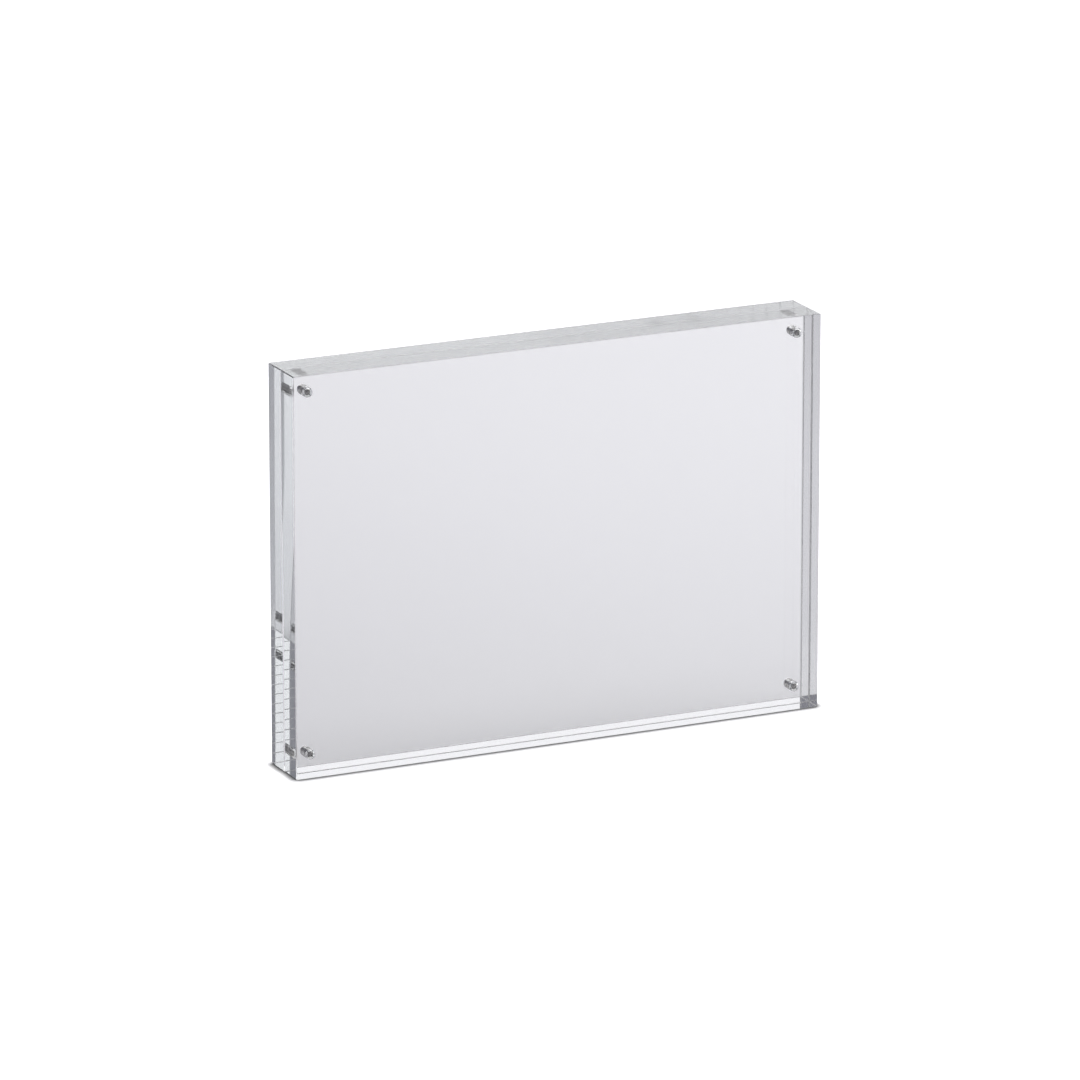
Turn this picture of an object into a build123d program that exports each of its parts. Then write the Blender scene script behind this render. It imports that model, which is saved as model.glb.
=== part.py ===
from build123d import *
import os

# Acrylic block frame: two clear plates that close face to face on magnets set into their corners.
# Millimetres. +X runs along the width, +Y from the front towards the back, and +Z up.
# The origin is at the middle of the base, on the seam halfway between the two plates.

# Plates: a 7 by 5 inch face, cut from 3/8 inch sheet
plate_width = 177.8
plate_height = 127.0
plate_thickness = 9.525
edge_break = 0.3  # the narrow flat left along every polished edge

# Space between the plates for one print, kept open by magnets that stand a little proud
print_space = 0.2

# Magnets: 1/8 inch across and 1/8 inch long, nickel plated
magnet_diameter = 3.175
magnet_length = 3.175
magnet_edge_radius = 0.25
magnet_inset = 6.35  # from the magnet's axis to the two nearest edges of the plate

# Pockets: blind holes cut from the inner face with a round-nosed cutter
pocket_clearance = 0.05  # radial, around the magnet
pocket_end_clearance = 0.05  # between the magnet's inner end and the end of the full bore

# The two sides of the seam, as signs along Y
sides = {"front": -1, "rear": 1}

# The four corners as seen from the front, as signs along X and Z from the plate's middle
corners = {
    "top_left": (-1, 1),
    "top_right": (1, 1),
    "bottom_left": (-1, -1),
    "bottom_right": (1, -1),
}


def magnet_axis(corner):
    """Where a corner's magnet axis crosses the seam, with the axis running along Y."""
    sign_x, sign_z = corners[corner]
    x = sign_x * (plate_width / 2 - magnet_inset)
    z = plate_height / 2 + sign_z * (plate_height / 2 - magnet_inset)
    return Pos(x, 0, z)


def make_pocket(side):
    """The space that the cutter clears, along Y from the seam into the plate on one side."""
    radius = magnet_diameter / 2 + pocket_clearance
    bore_end = side * (magnet_length + pocket_end_clearance)
    nose_end = bore_end + side * radius
    nose = CenterArc((0, bore_end), radius, 0, side * 90)
    bore = Polyline((0, nose_end), (0, 0), (radius, 0), (radius, bore_end))
    return revolve(make_face(bore + nose), Axis.Y)


def make_plate(side):
    """One plate on edge, with its edges broken and a magnet pocket cut in each corner."""
    middle_y = side * (print_space + plate_thickness) / 2
    blank = Pos(0, middle_y, plate_height / 2) * Box(plate_width, plate_thickness, plate_height)
    plate = chamfer(blank.edges(), edge_break)
    for corner in corners:
        plate -= magnet_axis(corner) * make_pocket(side)
    return plate


def make_magnet(side):
    """One magnet along Y, with its outer end on the seam, where it meets its partner."""
    bar = Cylinder(magnet_diameter / 2, magnet_length)
    bar = fillet(bar.edges().filter_by(GeomType.CIRCLE), magnet_edge_radius)
    return Pos(0, side * magnet_length / 2, 0) * Rot(90, 0, 0) * bar


os.makedirs("parts", exist_ok=True)
for side_name, side in sides.items():
    export_step(make_plate(side), f"parts/{side_name}_block.step")
    for corner in corners:
        export_step(magnet_axis(corner) * make_magnet(side), f"parts/{side_name}_magnet_{corner}.step")
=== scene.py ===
# %% [markdown]
# # A clear acrylic block frame
# Two thick plates of polished acrylic stand on edge, closed face to face. A small magnet sits in a pocket
# in each corner of each plate, and the magnets hold the pair together. Nearly everything that shows is
# light that has been bent or bounced inside the plates, so the shapes have to be exact and the
# surroundings matter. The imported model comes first, because every piece below takes its place and size
# from it.

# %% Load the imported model
import math

import bpy
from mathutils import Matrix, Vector


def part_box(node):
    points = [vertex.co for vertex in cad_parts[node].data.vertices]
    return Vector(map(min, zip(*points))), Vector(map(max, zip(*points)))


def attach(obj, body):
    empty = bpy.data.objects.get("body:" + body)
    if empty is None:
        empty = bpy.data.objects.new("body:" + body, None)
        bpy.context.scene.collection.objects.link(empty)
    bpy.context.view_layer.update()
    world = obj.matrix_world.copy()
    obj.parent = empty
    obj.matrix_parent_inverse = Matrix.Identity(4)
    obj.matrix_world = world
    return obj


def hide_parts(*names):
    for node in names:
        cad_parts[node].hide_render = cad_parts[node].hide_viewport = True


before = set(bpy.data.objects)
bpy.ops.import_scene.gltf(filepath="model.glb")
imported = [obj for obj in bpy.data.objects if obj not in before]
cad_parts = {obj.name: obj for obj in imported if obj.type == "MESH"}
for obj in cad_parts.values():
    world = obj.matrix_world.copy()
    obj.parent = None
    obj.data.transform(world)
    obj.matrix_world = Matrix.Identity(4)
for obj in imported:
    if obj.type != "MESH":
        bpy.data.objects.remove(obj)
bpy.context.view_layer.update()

MM = 0.001

# %% [markdown]
# ## Sizes
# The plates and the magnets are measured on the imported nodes, so nothing here can drift away from them.
# What a node's box can't tell, such as a clearance or the width of a broken edge, is written where it is
# first needed.

# %% Measure the plates and magnets
SIDES = {"front": -1, "rear": 1}


def size_and_middle(node):
    """A node's size and the middle of its box."""
    low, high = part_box(node)
    return high - low, (high + low) / 2


def in_mm(lengths):
    """Lengths in millimetres, rounded for printing."""
    return [round(length / MM, 3) for length in lengths]


plate_size, rear_plate_middle = size_and_middle("rear_block")
magnet_size, top_right_magnet = size_and_middle("rear_magnet_top_right")
print("plate mm", in_mm(plate_size), "magnet mm", in_mm(magnet_size))

# %% [markdown]
# ## A few words for building node trees
# Every finish and shape below is a tree of nodes. A tree can be wired by hand in Blender's editor, or
# written out in Python as here, where it reads from top to bottom and changes with a word. The first of
# these helpers adds any node, joins its inputs and hands back an output for the next node to use. The
# others are short forms for nodes that come often, and a count to print.

# %% Helpers that add nodes
def add(tree, kind, inputs, out=0, **settings):
    """Adds a node, sets its own settings, fills its inputs with values or sockets, and returns one output."""
    node = tree.nodes.new(kind)
    for name, value in settings.items():
        setattr(node, name, value)
    for key, value in inputs.items():
        for given in value if isinstance(value, list) else [value]:
            if isinstance(given, bpy.types.NodeSocket):
                tree.links.new(given, node.inputs[key])
            else:
                node.inputs[key].default_value = given
    return node.outputs[out]


def math_node(tree, operation, *terms):
    """One sum on numbers."""
    return add(tree, "ShaderNodeMath", dict(enumerate(terms)), operation=operation)


def noise(tree, place, grain):
    """Soft blotches between 0 and 1, as fine as their grain says."""
    return add(tree, "ShaderNodeTexNoise", {"Vector": place, **grain})


def count_nodes(name, tree):
    """Prints how many nodes a tree has."""
    print(name, "is a tree of", len(tree.nodes), "nodes")


print("trees are built in Blender", bpy.app.version_string)

# %% [markdown]
# ## Acrylic
# Clear cast acrylic has a refractive index of 1.49, and a Principled shader with full transmission bends
# light in the same way. But the real faces aren't perfect: cast faces keep a slight wave, cut edges keep
# fine tool marks, and scraped edges swallow some light. All of this is far too shallow to model, yet
# light that bounces a dozen times inside a plate shows it. Each finish could be a material of its own.
# Here one material reads two numbers from every face instead, so that one list of finishes further down
# says it all: the first adds roughness and tool marks, and the second darkens the face. That darkening is
# partly the scraped edges' own dullness and partly painted shade: the upright edges at the right end get
# the most, the left end's edges less, and the pocket walls some. A faint absorption gives the thick
# plates their tint.

# %% Make the acrylic
ACRYLIC_IOR = 1.49
MATT = "matt"
DULL_AND_SHADE = "dull"
HANDLING_GRAIN = {"Scale": 60.0, "Detail": 3.0}
HANDLING_ROUGHNESS = {"From Min": 0.4, "From Max": 0.8, "To Max": 0.006}
CAST_WAVE_GRAIN = {"Scale": 30.0, "Detail": 1.0}
CAST_WAVE = 0.002 * MM
TOOL_MARK_GRAIN = {"Scale": 6000.0, "Detail": 2.0}
TOOL_MARKS = 0.015 * MM
TINT = {"Color": (0.30, 0.42, 0.42, 1), "Density": 1.0}


def node_material(name):
    """A new material as (material, its node tree, its Principled shader)."""
    material = bpy.data.materials.new(name)
    material.use_nodes = True
    return material, material.node_tree, material.node_tree.nodes["Principled BSDF"]


def face_number(tree, name):
    """A number that is stored on each face, or 0 where there is none."""
    return add(tree, "ShaderNodeAttribute", {}, out="Fac", attribute_name=name)


def tilt_by(tree, shader, height):
    """Shades the surface as if it had this height in metres."""
    tree.links.new(add(tree, "ShaderNodeBump", {"Height": height, "Distance": 1.0}), shader.inputs["Normal"])


def make_acrylic():
    """Clear acrylic whose faces may be matt or dull, and some of them darkened by painted shade."""
    material, tree, shader = node_material("clear_acrylic")
    shader.inputs["IOR"].default_value = ACRYLIC_IOR
    shader.inputs["Transmission Weight"].default_value = 1
    matt = face_number(tree, MATT)
    place = add(tree, "ShaderNodeTexCoord", {}, out="Object")
    handling = noise(tree, place, HANDLING_GRAIN)
    handling = add(tree, "ShaderNodeMapRange", {"Value": handling, **HANDLING_ROUGHNESS})
    tree.links.new(math_node(tree, "ADD", matt, handling), shader.inputs["Roughness"])
    # The base colour is darkened by the second face number: partly a scraped face's dullness, partly painted
    # shade.
    clearness_with_shade = math_node(tree, "SUBTRACT", 1.0, face_number(tree, DULL_AND_SHADE))
    tree.links.new(clearness_with_shade, shader.inputs["Base Color"])
    wave = math_node(tree, "MULTIPLY", noise(tree, place, CAST_WAVE_GRAIN), CAST_WAVE)
    marks = math_node(tree, "MULTIPLY", noise(tree, place, TOOL_MARK_GRAIN), matt)
    tilt_by(tree, shader, math_node(tree, "MULTIPLY_ADD", marks, TOOL_MARKS, wave))
    tint = add(tree, "ShaderNodeVolumeAbsorption", TINT)
    tree.links.new(tint, tree.nodes["Material Output"].inputs["Volume"])
    count_nodes(material.name, tree)
    return material


acrylic = make_acrylic()

# %% [markdown]
# ## Glue
# Clear glue holds each magnet in its pocket, and it bends light much as acrylic does. Where it has wetted
# the pocket's wall, the wall can't be seen and the magnet shows behind it. The glue could be a piece of
# its own, but it would be a skin of a twentieth of a millimetre. A material that doesn't bend light, put
# on the wetted patches of the wall, looks the same and is simpler.

# %% Make the glue
def make_glue():
    """A surface that light crosses without bending."""
    material, tree, shader = node_material("clear_glue")
    shader.inputs["IOR"].default_value = 1.0
    shader.inputs["Transmission Weight"].default_value = 1
    shader.inputs["Roughness"].default_value = 0
    count_nodes(material.name, tree)
    return material


glue = make_glue()

# %% [markdown]
# ## Nickel
# The magnets are plated with nickel, which is a little darker and warmer than chrome. An even metal would
# look too clean, because the plating follows the grain of the pressed magnet under it. One noise drives
# both the roughness and a fine bump, as on the real plating both come from the same grain.

# %% Make the nickel
NICKEL_COLOUR = (0.53, 0.52, 0.50, 1)
PLATING_GRAIN = {"Scale": 1500.0, "Detail": 4.0}
PLATING_ROUGHNESS = {"From Min": 0.3, "From Max": 0.7, "To Min": 0.06, "To Max": 0.18}
PLATING_PITS = 0.01 * MM


def make_nickel():
    """Bright plating with a fine grain."""
    material, tree, shader = node_material("nickel_plate")
    shader.inputs["Base Color"].default_value = NICKEL_COLOUR
    shader.inputs["Metallic"].default_value = 1
    grain = noise(tree, add(tree, "ShaderNodeTexCoord", {}, out="Object"), PLATING_GRAIN)
    roughness = add(tree, "ShaderNodeMapRange", {"Value": grain, **PLATING_ROUGHNESS})
    tree.links.new(roughness, shader.inputs["Roughness"])
    tilt_by(tree, shader, math_node(tree, "MULTIPLY", grain, PLATING_PITS))
    count_nodes(material.name, tree)
    return material


nickel = make_nickel()

# %% [markdown]
# ## The plates
# Each plate is cut from cast sheet, which comes out a little thinner than its name. The left edge of the
# front plate is also cut a little out of square, more so towards its foot. On wood none of this would
# show. Here, light that enters the left edge bounces about fourteen times between the faces, so tenths of
# a millimetre decide where the light and dark strips in that edge lie. A plain cube has points only at
# its corners and can't follow the cut, so the blank is a box with many rows of points, and two Set
# Position nodes move the points that they pick.

# %% Shape a cast blank
CASTING = {
    "front": {"Thin": 0.07 * MM, "Cut In": 0.30 * MM},
    "rear": {"Thin": 0.22 * MM, "Cut In": 0.0},
}
CUT_START = 100 * MM
CUT_END = 30 * MM
CASTING_ROWS = 41


def vector_node(tree, operation, *terms):
    """One sum on vectors."""
    return add(tree, "ShaderNodeVectorMath", dict(enumerate(terms)), operation=operation)


def parts_of(tree, vector):
    """A vector's three parts, as sockets named X, Y and Z."""
    split = tree.nodes.new("ShaderNodeSeparateXYZ")
    tree.links.new(vector, split.inputs[0])
    return split.outputs


def compare(tree, operation, a, b):
    """A yes or no for each point, edge or face."""
    return add(tree, "FunctionNodeCompare", {"A": a, "B": b}, operation=operation)


def both(tree, a, b):
    """Yes where two answers are yes."""
    return add(tree, "FunctionNodeBooleanMath", {0: a, 1: b}, operation="AND")


def soft_step(tree, value, span):
    """A number that goes over smoothly from one value to another within a span."""
    return add(tree, "ShaderNodeMapRange", {"Value": value, **span}, interpolation_type="SMOOTHSTEP")


def move(tree, shape, points, axis, distance):
    """Moves the points that are picked along one axis."""
    offset = add(tree, "ShaderNodeCombineXYZ", {axis: distance})
    return add(tree, "GeometryNodeSetPosition", {"Geometry": shape, "Selection": points, "Offset": offset})


def cast_box(tree, given):
    """A box that is thin by an even amount, with its left face cut in at the seam, more towards its foot."""
    box = add(tree, "GeometryNodeMeshCube", {"Size": given["Size"], "Vertices Z": given["Rows"]})
    box = add(tree, "GeometryNodeTransform", {"Geometry": box, "Translation": given["Middle"]})
    place = add(tree, "GeometryNodeInputPosition", {})
    from_middle = parts_of(tree, vector_node(tree, "SUBTRACT", place, given["Middle"]))
    depth = math_node(tree, "MULTIPLY", from_middle["Y"], given["Outward"])
    inwards = math_node(tree, "MULTIPLY", given["Outward"], -1.0)
    outer = compare(tree, "GREATER_THAN", depth, 0.0)
    box = move(tree, box, outer, "Y", math_node(tree, "MULTIPLY", given["Thin"], inwards))
    inner = compare(tree, "LESS_THAN", depth, 0.0)
    left = compare(tree, "LESS_THAN", from_middle["X"], 0.0)
    span = {"From Min": given["Cut Start"], "From Max": given["Cut End"], "To Max": given["Cut In"]}
    cut = soft_step(tree, parts_of(tree, place)["Z"], span)
    return move(tree, box, both(tree, inner, left), "X", cut)


print("plates thinner than their name by mm", in_mm(casting["Thin"] for casting in CASTING.values()))

# %% [markdown]
# The edges of a polished plate are scraped to take off their sharpness, and not all alike. The long edges
# are scraped less than the short ones, and the inner edges at the left and the top are nearly sharp. A
# Bevel modifier makes every edge equally wide, unless it is limited by weight: then each edge takes its
# own share of the width. So the tree writes a weight on each edge of the box, under the name that the
# Bevel reads.

# %% Weigh the edges for the Bevel
EDGE_BREAK = 0.28 * MM
LONG_EDGE_BREAK = 0.15 * MM
FINE_EDGE_BREAK = 0.08 * MM
BEVEL_WEIGHT = "bevel_weight_edge"
SHARP_ABOVE = math.radians(60)
NEAR_SEAM = -0.4
NEAR_SIDE = 0.49


def mix(tree, share, first, second):
    """A number that goes from the first to the second as the share goes from 0 to 1."""
    return add(tree, "ShaderNodeMix", {"Factor": share, "A": first, "B": second})


def store(tree, shape, name, value, picked, kind="FLOAT", domain="FACE"):
    """Stores a value under a name on each face or edge that is picked."""
    inputs = {"Geometry": shape, "Selection": picked, "Name": name, "Value": value}
    return add(tree, "GeometryNodeStoreNamedAttribute", inputs, data_type=kind, domain=domain)


def fine_edges(tree, given):
    """1 on the edges of the inner face at the left and the top, and 0 on others."""
    place = vector_node(tree, "SUBTRACT", add(tree, "GeometryNodeInputPosition", {}), given["Middle"])
    share = parts_of(tree, vector_node(tree, "DIVIDE", place, given["Size"]))
    inner = math_node(tree, "LESS_THAN", math_node(tree, "MULTIPLY", share["Y"], given["Outward"]), NEAR_SEAM)
    left = math_node(tree, "LESS_THAN", share["X"], -NEAR_SIDE)
    top = math_node(tree, "GREATER_THAN", share["Z"], NEAR_SIDE)
    return math_node(tree, "MULTIPLY", inner, math_node(tree, "MAXIMUM", left, top))


def weigh_edges(tree, shape, given):
    """Weighs the sharp edges for the Bevel: whole, or only a share of its width along X or where fine."""
    sharp = compare(tree, "GREATER_THAN", add(tree, "GeometryNodeInputMeshEdgeAngle", {}), SHARP_ABOVE)
    ends = tree.nodes.new("GeometryNodeInputMeshEdgeVertices").outputs
    run = vector_node(tree, "SUBTRACT", ends["Position 1"], ends["Position 2"])
    along_x = math_node(tree, "ABSOLUTE", parts_of(tree, vector_node(tree, "NORMALIZE", run))["X"])
    weight = mix(tree, along_x, 1.0, given["Long Edge Share"])
    weight = mix(tree, fine_edges(tree, given), weight, given["Fine Edge Share"])
    return store(tree, shape, BEVEL_WEIGHT, weight, sharp, domain="EDGE")


print("edges are broken by mm", in_mm((EDGE_BREAK, LONG_EDGE_BREAK, FINE_EDGE_BREAK)))

# %% [markdown]
# Both steps become one Geometry Nodes tree. Its sizes could be typed into the nodes, but a tree with
# named inputs serves both plates, each with values of its own.

# %% Build the tree of a blank
BLANK_INPUTS = {"Size": "Vector", "Middle": "Vector", "Rows": "Int", "Outward": "Float", "Thin": "Float",
                "Cut In": "Float", "Cut Start": "Float", "Cut End": "Float", "Long Edge Share": "Float",
                "Fine Edge Share": "Float"}


def new_tree(name, inputs):
    """An empty tree with these named inputs, as (tree, the inputs' sockets by name, the output's socket)."""
    tree = bpy.data.node_groups.new(name, "GeometryNodeTree")
    tree.interface.new_socket("Shape", in_out="OUTPUT", socket_type="NodeSocketGeometry")
    tree.interface.new_socket("Shape", in_out="INPUT", socket_type="NodeSocketGeometry")
    for label, kind in inputs.items():
        tree.interface.new_socket(label, in_out="INPUT", socket_type="NodeSocket" + kind)
    sockets = {socket.name: socket for socket in tree.nodes.new("NodeGroupInput").outputs if socket.name}
    return tree, sockets, tree.nodes.new("NodeGroupOutput").inputs["Shape"]


def blank_tree():
    """A plate before its edges are broken and its pockets cut."""
    tree, given, result = new_tree("Cast blank", BLANK_INPUTS)
    tree.links.new(weigh_edges(tree, cast_box(tree, given), given), result)
    count_nodes(tree.name, tree)
    return tree


cast_blank = blank_tree()

# %% [markdown]
# ## The corner pattern
# Pockets and magnets sit in the same four places. Four copies could be placed one by one, but a grid of
# two by two points, turned upright, marks all the places at once, and Instance on Points puts a copy on
# each. The copies are then realized, because until then they are only references to one shape and can't
# be cut or exported.

# %% Put a shape in the four corners
CORNER_INPUTS = {"Corners Middle": "Vector", "Span X": "Float", "Span Z": "Float", "Turn": "Vector",
                 "Material": "Material"}
UPRIGHT = (math.pi / 2, 0, 0)
magnet_span_x = 2 * top_right_magnet.x
magnet_span_z = 2 * (top_right_magnet.z - rear_plate_middle.z)


def at_corners(tree, given, shape):
    """Four copies of a shape that was made along Z, turned to run along Y, in the corners around a middle."""
    grid = add(tree, "GeometryNodeMeshGrid", {"Size X": given["Span X"], "Size Y": given["Span Z"],
                                              "Vertices X": 2, "Vertices Y": 2})
    upright = add(tree, "GeometryNodeTransform", {"Geometry": grid, "Rotation": UPRIGHT})
    turned = add(tree, "GeometryNodeTransform", {"Geometry": shape, "Rotation": given["Turn"]})
    copies = add(tree, "GeometryNodeInstanceOnPoints", {"Points": upright, "Instance": turned})
    copies = add(tree, "GeometryNodeRealizeInstances", {"Geometry": copies})
    return add(tree, "GeometryNodeTransform", {"Geometry": copies, "Translation": given["Corners Middle"]})


print("corner places are apart by mm", in_mm((magnet_span_x, magnet_span_z)))

# %% [markdown]
# ## The pockets
# A round-nosed cutter leaves a straight bore with a round end, and through the plate that end shows as a
# dark core in a light ring. A profile could be spun into this shape. An open cylinder with half a ball on
# its end is the same, and gives the wall the rows of faces that the glue needs later.

# %% Make the space that the cutter clears
POCKET_CLEARANCE = 0.05 * MM
POCKET_SIDES = 64
WALL_ROWS = 12
WELD_REACH = 0.001 * MM
LOOKS_ALONG = 0.9
pocket_radius = magnet_size.x / 2 + POCKET_CLEARANCE
pocket_depth = magnet_size.y + POCKET_CLEARANCE


def facing(tree):
    """How much a face looks along each axis, as sockets named X, Y and Z."""
    return parts_of(tree, add(tree, "GeometryNodeInputNormal", {}, out="Normal"))


def without(tree, shape, faces):
    """A shape without the faces that are picked."""
    return add(tree, "GeometryNodeDeleteGeometry", {"Geometry": shape, "Selection": faces}, domain="FACE")


def cutter_shape(tree, given):
    """The space that a round-nosed cutter clears, along Z from its mouth at 0."""
    radius = given["Pocket Radius"]
    depth = given["Pocket Depth"]
    middle = add(tree, "ShaderNodeCombineXYZ", {"Z": math_node(tree, "MULTIPLY", depth, 0.5)})
    bore = add(tree, "GeometryNodeMeshCylinder", {"Vertices": POCKET_SIDES, "Side Segments": WALL_ROWS,
                                                  "Radius": radius, "Depth": depth})
    bore = without(tree, bore, compare(tree, "GREATER_THAN", facing(tree)["Z"], LOOKS_ALONG))
    nose = add(tree, "GeometryNodeMeshUVSphere", {"Segments": POCKET_SIDES, "Rings": POCKET_SIDES // 2,
                                                  "Radius": radius})
    nose = without(tree, nose, compare(tree, "LESS_THAN", facing(tree)["Z"], 0.0))
    nose = add(tree, "GeometryNodeTransform", {"Geometry": nose, "Translation": middle})
    space = add(tree, "GeometryNodeJoinGeometry", {"Geometry": [bore, nose]})
    space = add(tree, "GeometryNodeMergeByDistance", {"Geometry": space, "Distance": WELD_REACH})
    return add(tree, "GeometryNodeTransform", {"Geometry": space, "Translation": middle})


print("pocket radius and bore depth mm", in_mm((pocket_radius, pocket_depth)))

# %% [markdown]
# Glue that is pressed out by a magnet wets most of the wall and misses some of it, which makes the
# magnets look mottled. The wetted faces could be picked by hand, but a noise does it for all eight
# pockets, and always in the same way. The answer is stored on the faces, and the Boolean that cuts the
# pockets carries it over to the plate.

# %% Pick the faces that the glue wets
GLUED = "glued"
GLUE_GRAIN = {"Scale": 900.0, "Detail": 1.0}
GLUE_MISSES = 0.43
ALONG_BORE = 0.02


def glued_faces(tree):
    """Picks the faces of a pocket's wall that the glue has wetted: most of them, in patches."""
    on_wall = compare(tree, "LESS_THAN", math_node(tree, "ABSOLUTE", facing(tree)["Y"]), ALONG_BORE)
    patches = noise(tree, add(tree, "GeometryNodeInputPosition", {}), GLUE_GRAIN)
    return both(tree, on_wall, compare(tree, "GREATER_THAN", patches, GLUE_MISSES))


print("glue lies in patches of about mm", in_mm([1 / GLUE_GRAIN["Scale"]]))

# %% [markdown]
# ## Finishes by where a face looks
# The plates are polished, their broken edges are scraped and their top edges are only satin. The upright
# edges at the two ends carry painted shade as well, dark at the right end and light at the left. Painting
# each finish on by hand would have to be done again after every change of shape. Where a face looks says
# what it is: one that isn't square to any axis is a broken edge, and one that looks straight up is a top
# edge. Each finish stores its numbers for the acrylic to read. The widest choice comes first, because a
# later finish overwrites an earlier one.

# %% Give each kind of face its finish
SCRAPED_EDGE = {MATT: 0.5, DULL_AND_SHADE: 0.28}
LONG_EDGE = {MATT: 0.8, DULL_AND_SHADE: 0.2}
FOOT_EDGE = {MATT: 0.5, DULL_AND_SHADE: 0.0}
# Painted shade on the upright edges at the ends: the right end's edges are darkened most, the left end's
# little.
LEFT_EDGE_SHADE = {DULL_AND_SHADE: 0.10}
RIGHT_EDGE_SHADE = {DULL_AND_SHADE: 0.50}
SATIN_TOP = {MATT: 0.15}
SQUARE_ABOVE = 0.99
TURNED_AWAY = 0.1


def slanted_faces(tree):
    """Picks the faces that aren't square to an axis, which on a blank are its broken edges."""
    normal = add(tree, "GeometryNodeInputNormal", {}, out="Normal")
    part = parts_of(tree, vector_node(tree, "ABSOLUTE", normal))
    most = math_node(tree, "MAXIMUM", math_node(tree, "MAXIMUM", part["X"], part["Y"]), part["Z"])
    return compare(tree, "LESS_THAN", most, SQUARE_ABOVE)


def edge_flats(tree, axis, side_axis=None, side=0):
    """Picks the flats along the edges that run along one axis, all of them or those that look to one side."""
    along = math_node(tree, "ABSOLUTE", facing(tree)[axis])
    flats = both(tree, slanted_faces(tree), compare(tree, "LESS_THAN", along, TURNED_AWAY))
    if side_axis is None:
        return flats
    looks = math_node(tree, "MULTIPLY", facing(tree)[side_axis], side)
    return both(tree, flats, compare(tree, "GREATER_THAN", looks, TURNED_AWAY))


def finish_faces(tree, blank):
    """Stores the finishes on a blank's faces."""
    finishes = (
        (slanted_faces(tree), SCRAPED_EDGE),
        (edge_flats(tree, "X"), LONG_EDGE),
        (edge_flats(tree, "Y", "Z", -1), FOOT_EDGE),
        (edge_flats(tree, "Z", "X", -1), LEFT_EDGE_SHADE),
        (edge_flats(tree, "Z", "X", 1), RIGHT_EDGE_SHADE),
        (compare(tree, "GREATER_THAN", facing(tree)["Z"], SQUARE_ABOVE), SATIN_TOP),
    )
    for faces, finish in finishes:
        for name, value in finish.items():
            blank = store(tree, blank, name, value, faces)
    return blank


print("finishes for the acrylic to read:", MATT, "and", DULL_AND_SHADE)

# %% [markdown]
# The second tree of a plate puts these together. One Mesh Boolean takes all four cutters away at once, in
# its exact mode, which keeps the stored finishes. The faces are then shaded smooth across the shallow
# steps of a round and hard across an edge, since light that passes through shows every false curve.

# %% Build the tree that cuts the pockets
POCKET_INPUTS = {"Pocket Radius": "Float", "Pocket Depth": "Float", "Wall Material": "Material",
                 **CORNER_INPUTS}
# The pocket walls' roughness is the cut's own finish. Their darkening is painted shade over the magnets seen
# through them.
POCKET_FINISH_AND_SHADE = {MATT: 0.08, DULL_AND_SHADE: 0.15}
SMOOTH_BELOW = math.radians(9)


def finish_shape(tree, given, shape):
    """Smooth shading across shallow steps, a hard line across steeper ones, and the material."""
    smooth = add(tree, "GeometryNodeSetShadeSmooth", {"Geometry": shape, "Shade Smooth": True}, domain="FACE")
    steep = compare(tree, "GREATER_THAN", add(tree, "GeometryNodeInputMeshEdgeAngle", {}), SMOOTH_BELOW)
    hard = add(tree, "GeometryNodeSetShadeSmooth",
               {"Geometry": smooth, "Selection": steep, "Shade Smooth": False}, domain="EDGE")
    return add(tree, "GeometryNodeSetMaterial", {"Geometry": hard, "Material": given["Material"]})


def pocket_tree():
    """Finishes the blank that comes in and cuts a pocket into each of its corners."""
    tree, given, result = new_tree("Magnet pockets", POCKET_INPUTS)
    pockets = at_corners(tree, given, cutter_shape(tree, given))
    pockets = store(tree, pockets, GLUED, glued_faces(tree), True, kind="BOOLEAN")
    for name, value in POCKET_FINISH_AND_SHADE.items():
        pockets = store(tree, pockets, name, value, True)
    blank = finish_faces(tree, given["Shape"])
    plate = add(tree, "GeometryNodeMeshBoolean", {"Mesh 1": blank, "Mesh 2": pockets},
                operation="DIFFERENCE", solver="EXACT")
    plate = finish_shape(tree, given, plate)
    glued = add(tree, "GeometryNodeInputNamedAttribute", {"Name": GLUED}, data_type="BOOLEAN")
    plate = add(tree, "GeometryNodeSetMaterial",
                {"Geometry": plate, "Selection": glued, "Material": given["Wall Material"]})
    tree.links.new(plate, result)
    count_nodes(tree.name, tree)
    return tree


magnet_pockets = pocket_tree()

# %% [markdown]
# ## From trees to a piece
# A tree does nothing until a modifier runs it on an object. So a piece starts as an empty mesh, gets its
# modifiers, and is then frozen: their result becomes a plain mesh and the modifiers are removed. A piece
# could keep them, but a plain mesh is what can ride on a body and be exported.

# %% Helpers that grow and freeze a piece
def seed(name):
    """An empty mesh object that modifiers can grow a piece on."""
    piece = bpy.data.objects.new(name, bpy.data.meshes.new(name + "_seed"))
    bpy.context.scene.collection.objects.link(piece)
    return piece


def add_nodes(piece, tree, values):
    """Adds a tree to a piece as a modifier, with these values for its named inputs."""
    modifier = piece.modifiers.new(tree.name, "NODES")
    modifier.node_group = tree
    for item in tree.interface.items_tree:
        if item.in_out == "INPUT" and item.name in values:
            modifier[item.identifier] = values[item.name]


def freeze(piece):
    """Turns what the modifiers made into a plain mesh and removes them."""
    depsgraph = bpy.context.evaluated_depsgraph_get()
    mesh = bpy.data.meshes.new_from_object(piece.evaluated_get(depsgraph))
    piece.modifiers.clear()
    piece.data = mesh
    mesh.name = piece.name
    print(piece.name, "has", len(mesh.vertices), "points and", len(mesh.polygons), "faces")


print("trees at hand:", sorted(tree.name for tree in bpy.data.node_groups))

# %% [markdown]
# ## Both plates
# Each plate is grown by three modifiers in turn: the blank, the Bevel that breaks its edges, and the
# pockets. The pockets come last, because the Bevel would otherwise have to tell their rims from the
# edges.

# %% Make both plates
EDGE_STEPS = 1


def corner_values(sign, middle):
    """What every tree with a corner pattern is told."""
    return {
        "Corners Middle": middle,
        "Span X": magnet_span_x,
        "Span Z": magnet_span_z,
        "Turn": Vector((-sign * math.pi / 2, 0, 0)),
    }


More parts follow.
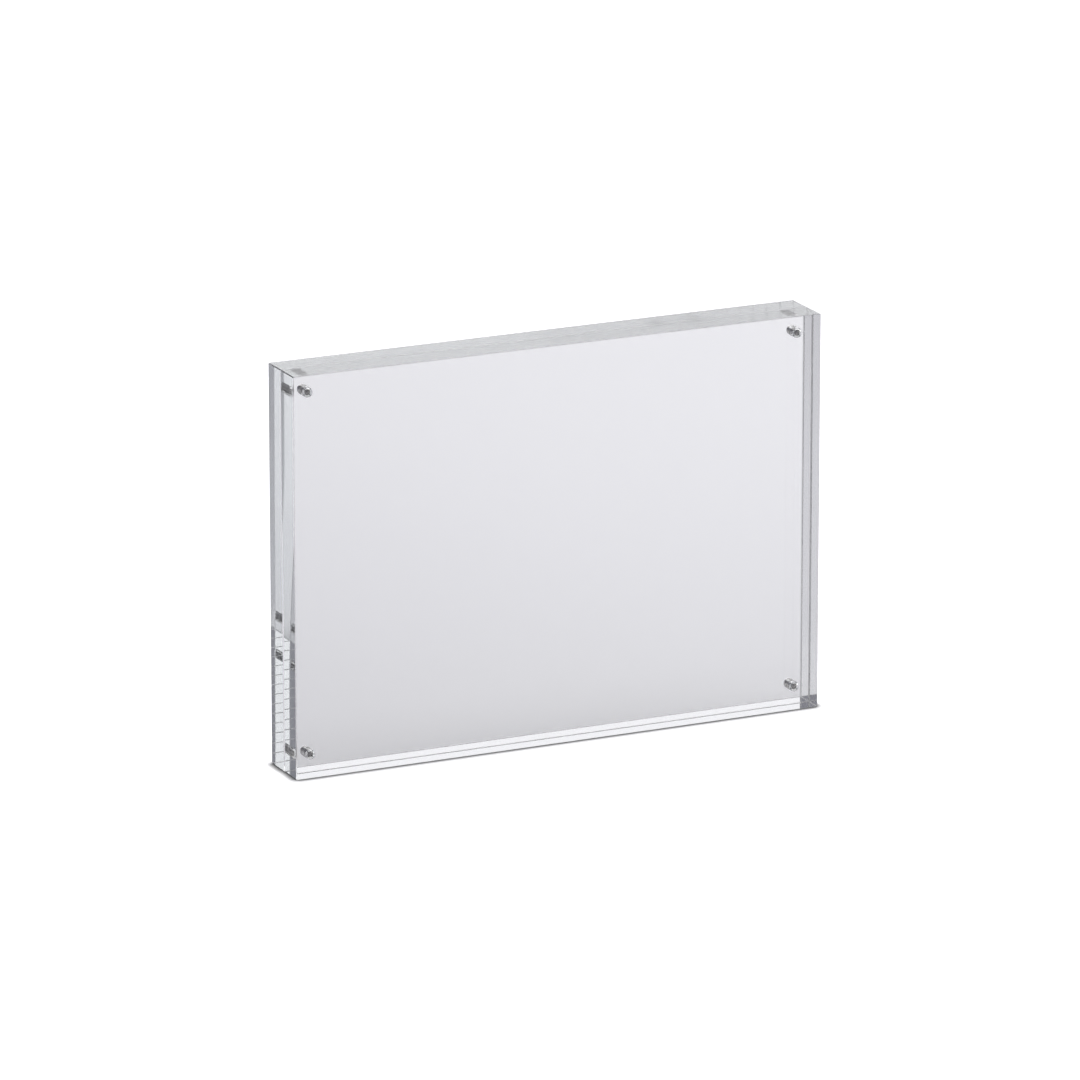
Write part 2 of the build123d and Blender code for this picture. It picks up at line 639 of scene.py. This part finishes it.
for side, sign in SIDES.items():
    _, middle = size_and_middle(side + "_block")
    plate = seed(side + "_plate")
    add_nodes(plate, cast_blank, {
        "Size": plate_size,
        "Middle": middle,
        "Rows": CASTING_ROWS,
        "Outward": float(sign),
        "Cut Start": CUT_START,
        "Cut End": CUT_END,
        "Long Edge Share": LONG_EDGE_BREAK / EDGE_BREAK,
        "Fine Edge Share": FINE_EDGE_BREAK / EDGE_BREAK,
        **CASTING[side],
    })
    bevel = plate.modifiers.new("Broken edges", "BEVEL")
    bevel.width = EDGE_BREAK
    bevel.segments = EDGE_STEPS
    bevel.limit_method = "WEIGHT"
    add_nodes(plate, magnet_pockets, {
        "Pocket Radius": pocket_radius,
        "Pocket Depth": pocket_depth,
        "Material": acrylic,
        "Wall Material": glue,
        **corner_values(sign, Vector((0, 0, middle.z))),
    })
    freeze(plate)
    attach(plate, side)
    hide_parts(side + "_block")

# %% [markdown]
# ## The magnets
# A magnet is a short cylinder with rounded rims. A cylinder with a Bevel would do. But a small circle
# swept round a larger one makes a rim, and the skin stretched over two such rims, their convex hull, is
# the whole magnet with nothing to tune.

# %% Build the magnet tree
MAGNET_INPUTS = {"Radius": "Float", "Length": "Float", "Edge Round": "Float", **CORNER_INPUTS}
MAGNET_SIDES = 64
RIM_SIDES = 32


def magnet_tree():
    """Four cylinders with rounded rims."""
    tree, given, result = new_tree("Corner magnets", MAGNET_INPUTS)
    edge_round = given["Edge Round"]
    ring_radius = math_node(tree, "SUBTRACT", given["Radius"], edge_round)
    ring = add(tree, "GeometryNodeCurvePrimitiveCircle", {"Resolution": MAGNET_SIDES, "Radius": ring_radius})
    section = add(tree, "GeometryNodeCurvePrimitiveCircle", {"Resolution": RIM_SIDES, "Radius": edge_round})
    rim = add(tree, "GeometryNodeCurveToMesh", {"Curve": ring, "Profile Curve": section})
    half = math_node(tree, "MULTIPLY", given["Length"], 0.5)
    height = math_node(tree, "SUBTRACT", half, edge_round)
    rims = []
    for level in (height, math_node(tree, "MULTIPLY", height, -1.0)):
        offset = add(tree, "ShaderNodeCombineXYZ", {"Z": level})
        rims.append(add(tree, "GeometryNodeTransform", {"Geometry": rim, "Translation": offset}))
    magnet = add(tree, "GeometryNodeJoinGeometry", {"Geometry": rims})
    magnet = add(tree, "GeometryNodeConvexHull", {"Geometry": magnet})
    tree.links.new(finish_shape(tree, given, at_corners(tree, given, magnet)), result)
    count_nodes(tree.name, tree)
    return tree


corner_magnets = magnet_tree()

# %% [markdown]
# Each plate carries four magnets, which move with it as one body. So four magnets make one mesh, and
# there is one such mesh for each plate.

# %% Make the magnets of each plate
CORNERS = ("top_left", "top_right", "bottom_left", "bottom_right")
MAGNET_EDGE_ROUND = 0.25 * MM
for side, sign in SIDES.items():
    _, middle = size_and_middle(side + "_magnet_top_right")
    magnets = seed(side + "_magnets")
    add_nodes(magnets, corner_magnets, {
        "Radius": magnet_size.x / 2,
        "Length": magnet_size.y,
        "Edge Round": MAGNET_EDGE_ROUND,
        "Material": nickel,
        **corner_values(sign, Vector((0, middle.y, rear_plate_middle.z))),
    })
    freeze(magnets)
    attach(magnets, side)
    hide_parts(*[f"{side}_magnet_{corner}" for corner in CORNERS])

# %% [markdown]
# ## The floor
# The frame stands on a white floor that runs on without an edge. Clear things show their surroundings, so
# the floor has to look right from inside the plates too, and one plain white would make the plates
# vanish. A Light Path node tells what kind of ray has arrived, and the floor answers each kind: white for
# the camera, a soft grey for a ray that went straight through the plates, and, for a ray that bounced
# inside them, darker in front than behind. Light that falls through the plates on to the floor right
# under them takes very long to trace, so it is added as a glow.

# %% Choose the floor's tones
GLOW_BOUNCED = {"From Min": -20 * MM, "From Max": 10 * MM, "To Min": 0.055, "To Max": 0.24}
GLOW_ACROSS = {"From Min": 40 * MM, "From Max": 100 * MM, "To Min": 0.5, "To Max": 1.0}
GLOW_UNDER = 0.42
GLOW_STRAIGHT = {"From Min": -60 * MM, "From Max": 0.0, "To Min": 0.46, "To Max": 0.22}
GLOW_FAR_LEFT = {"From Min": -90 * MM, "From Max": -220 * MM, "To Max": 0.2}
FIRST_BOUNCE = 0.5


def straight_rays(tree, path):
    """Rays that have gone straight through clear pieces, with no bounce inside them."""
    unbounced = math_node(tree, "LESS_THAN", path["Glossy Depth"], FIRST_BOUNCE)
    return math_node(tree, "MULTIPLY", path["Is Transmission Ray"], unbounced)


def sent_on_rays(tree, path):
    """Rays that come out of clear pieces or off metal."""
    return math_node(tree, "MAXIMUM", path["Is Glossy Ray"], path["Is Transmission Ray"])


def floor_glow(tree, path, covered):
    """How much white the floor adds for rays that come out of clear pieces or off metal."""
    place = parts_of(tree, add(tree, "ShaderNodeTexCoord", {}, out="Object"))
    behind = soft_step(tree, place["Y"], GLOW_BOUNCED)
    bounced = math_node(tree, "MULTIPLY", behind, soft_step(tree, place["X"], GLOW_ACROSS))
    bounced = math_node(tree, "MAXIMUM", bounced, math_node(tree, "MULTIPLY", covered, GLOW_UNDER))
    bounced = math_node(tree, "MULTIPLY", bounced, sent_on_rays(tree, path))
    through = soft_step(tree, place["Y"], GLOW_STRAIGHT)
    through = math_node(tree, "ADD", through, soft_step(tree, place["X"], GLOW_FAR_LEFT))
    return mix(tree, straight_rays(tree, path), bounced, through)


print("floor seen straight through adds", GLOW_STRAIGHT["To Max"], "to", GLOW_STRAIGHT["To Min"])

# %% [markdown]
# Where the frame's foot meets the floor there is a narrow, soft shadow. A floor that glows white for the
# camera would drown it. So Ambient Occlusion, which measures how much of the sky is covered close by,
# dims the floor there.

# %% Lay the floor
FLOOR_SIZE = 12.0
FLOOR_DROP = 0.05 * MM
FLOOR_COLOUR = (0.88, 0.875, 0.89)
WHITE_TO_CAMERA = 0.85
CONTACT_REACH = 2.5 * MM
CONTACT_DEPTH = 3.0


def floor_material():
    """A pale floor that the camera sees as white, with the shadow kept."""
    material = bpy.data.materials.new("pale_floor")
    material.use_nodes = True
    material.cycles.emission_sampling = "NONE"
    tree = material.node_tree
    tree.nodes.clear()
    path = tree.nodes.new("ShaderNodeLightPath").outputs
    open_sky = add(tree, "ShaderNodeAmbientOcclusion", {"Distance": CONTACT_REACH}, out="AO")
    contact = math_node(tree, "POWER", open_sky, CONTACT_DEPTH)
    lit = mix(tree, path["Is Camera Ray"], 1.0, contact)
    colour = add(tree, "ShaderNodeVectorMath", {0: FLOOR_COLOUR, "Scale": lit}, operation="SCALE")
    paint = add(tree, "ShaderNodeBsdfDiffuse", {"Color": colour})
    glow = floor_glow(tree, path, math_node(tree, "SUBTRACT", 1.0, open_sky))
    direct = math_node(tree, "MULTIPLY", contact, WHITE_TO_CAMERA)
    white = add(tree, "ShaderNodeEmission", {"Strength": mix(tree, path["Is Camera Ray"], glow, direct)})
    surface = add(tree, "ShaderNodeAddShader", {0: paint, 1: white})
    tree.links.new(surface, tree.nodes.new("ShaderNodeOutputMaterial").inputs["Surface"])
    count_nodes(material.name, tree)
    return material


def make_floor():
    """A large square just below the frame's foot."""
    mesh = bpy.data.meshes.new("floor")
    reach = FLOOR_SIZE / 2
    corners = [(-reach, -reach), (reach, -reach), (reach, reach), (-reach, reach)]
    mesh.from_pydata([(x, y, -FLOOR_DROP) for x, y in corners], [], [(0, 1, 2, 3)])
    mesh.materials.append(floor_material())
    floor = bpy.data.objects.new("floor", mesh)
    bpy.context.scene.collection.objects.link(floor)


make_floor()

# %% [markdown]
# ## The light
# The edges of a clear plate only show if there is both light and dark to catch. So the room around the
# frame is dim and a little blue, and paler at both sides. The camera sees it as white, and so do rays
# that went straight through the plates, as they would before a white backdrop.

# %% Light the room
ROOM_COLOUR = (0.215, 0.215, 0.245, 1)
SIDE_COLOUR = (0.62, 0.62, 0.64, 1)
BACKDROP_COLOUR = (1, 1, 1, 1)
SIDE_SPREAD = {"From Min": 0.5, "From Max": 0.75}


def light_world():
    """A dim room with paler sides, which the camera sees as white."""
    world = bpy.data.worlds.new("studio")
    world.use_nodes = True
    tree = world.node_tree
    tree.nodes.clear()
    path = tree.nodes.new("ShaderNodeLightPath").outputs
    room, sides, backdrop = [
        add(tree, "ShaderNodeBackground", {"Color": colour})
        for colour in (ROOM_COLOUR, SIDE_COLOUR, BACKDROP_COLOUR)
    ]
    across = parts_of(tree, add(tree, "ShaderNodeTexCoord", {}, out="Generated"))["X"]
    sideways = soft_step(tree, math_node(tree, "ABSOLUTE", across), SIDE_SPREAD)
    sideways = math_node(tree, "MULTIPLY", sideways, sent_on_rays(tree, path))
    walls = add(tree, "ShaderNodeMixShader", {0: sideways, 1: room, 2: sides})
    seen = math_node(tree, "MAXIMUM", path["Is Camera Ray"], straight_rays(tree, path))
    surroundings = add(tree, "ShaderNodeMixShader", {0: seen, 1: walls, 2: backdrop})
    tree.links.new(surroundings, tree.nodes.new("ShaderNodeOutputWorld").inputs["Surface"])
    bpy.context.scene.world = world
    count_nodes(world.name, tree)


light_world()

# %% [markdown]
# Two broad soft lights stand for a photographer's softboxes. One stands behind and to the right, and
# makes the light strips in the left edge. The other hangs overhead, and lights the top edges and the
# floor. They are set by brightness and not by power, so that a light keeps its tone in a reflection when
# its size is changed.

# %% Hang the lights
SOFTBOXES = {
    "back_light": {"place": (0.78, 1.60, 0.36), "target": (0, 0, 0.10), "width": 0.9, "height": 0.62,
                   "brightness": 0.80},
    "top_light": {"place": (0.5, 0.43, 0.42), "target": (0.5, 0.43, 0), "width": 1.3, "height": 1.05,
                  "brightness": 0.84},
}


def softbox(name, place, target, width, height, brightness):
    """A broad soft light of an even brightness, which the camera doesn't see."""
    data = bpy.data.lights.new(name, "AREA")
    data.shape = "RECTANGLE"
    data.size = width
    data.size_y = height
    data.energy = brightness * math.pi * width * height
    lamp = bpy.data.objects.new(name, data)
    bpy.context.scene.collection.objects.link(lamp)
    lamp.location = place
    lamp.rotation_mode = "QUATERNION"
    lamp.rotation_quaternion = (Vector(target) - Vector(place)).to_track_quat("-Z", "Y")
    lamp.visible_camera = False
    print(name, "has", round(data.energy, 2), "watts")


for name, settings in SOFTBOXES.items():
    softbox(name, **settings)

# %% [markdown]
# ## Camera
# A long lens from far away, a little to the left and above, so that the two long edges stay nearly
# parallel. The camera is placed by its direction and distance from a point near the frame's middle, which
# is easier to adjust than three coordinates and three angles.

# %% Set the camera
CAMERA_AZIMUTH = math.radians(-25.17)
CAMERA_ELEVATION = math.radians(16.18)
CAMERA_DISTANCE = 2.617
CAMERA_LENS = 283.7
CAMERA_SENSOR = 36
CAMERA_REACH = 100
CAMERA_AIM = (-2.1 * MM, 0.9 * MM, 62.7 * MM)


def set_camera():
    """A camera that looks at the aim point from the given direction and distance."""
    data = bpy.data.cameras.new("camera")
    data.lens = CAMERA_LENS
    data.sensor_width = CAMERA_SENSOR
    data.clip_end = CAMERA_REACH
    camera = bpy.data.objects.new("camera", data)
    bpy.context.scene.collection.objects.link(camera)
    away = Vector((
        math.sin(CAMERA_AZIMUTH) * math.cos(CAMERA_ELEVATION),
        -math.cos(CAMERA_AZIMUTH) * math.cos(CAMERA_ELEVATION),
        math.sin(CAMERA_ELEVATION),
    ))
    camera.location = Vector(CAMERA_AIM) + CAMERA_DISTANCE * away
    camera.rotation_mode = "QUATERNION"
    camera.rotation_quaternion = (-away).to_track_quat("-Z", "Y")
    bpy.context.scene.camera = camera
    print("camera stands at mm", in_mm(camera.location))


set_camera()

# %% [markdown]
# ## Colour and light paths
# Standard view keeps colours as written. Light crosses a plate's length in a dozen or more bounces, and a
# path that is cut short turns black, so paths may be long.

# %% Set colour and light paths
LONGEST_PATH = 48
scene = bpy.context.scene
scene.view_settings.view_transform = "Standard"
scene.cycles.max_bounces = LONGEST_PATH
scene.cycles.glossy_bounces = LONGEST_PATH
scene.cycles.transmission_bounces = LONGEST_PATH
print("light may bounce", scene.cycles.max_bounces, "times")
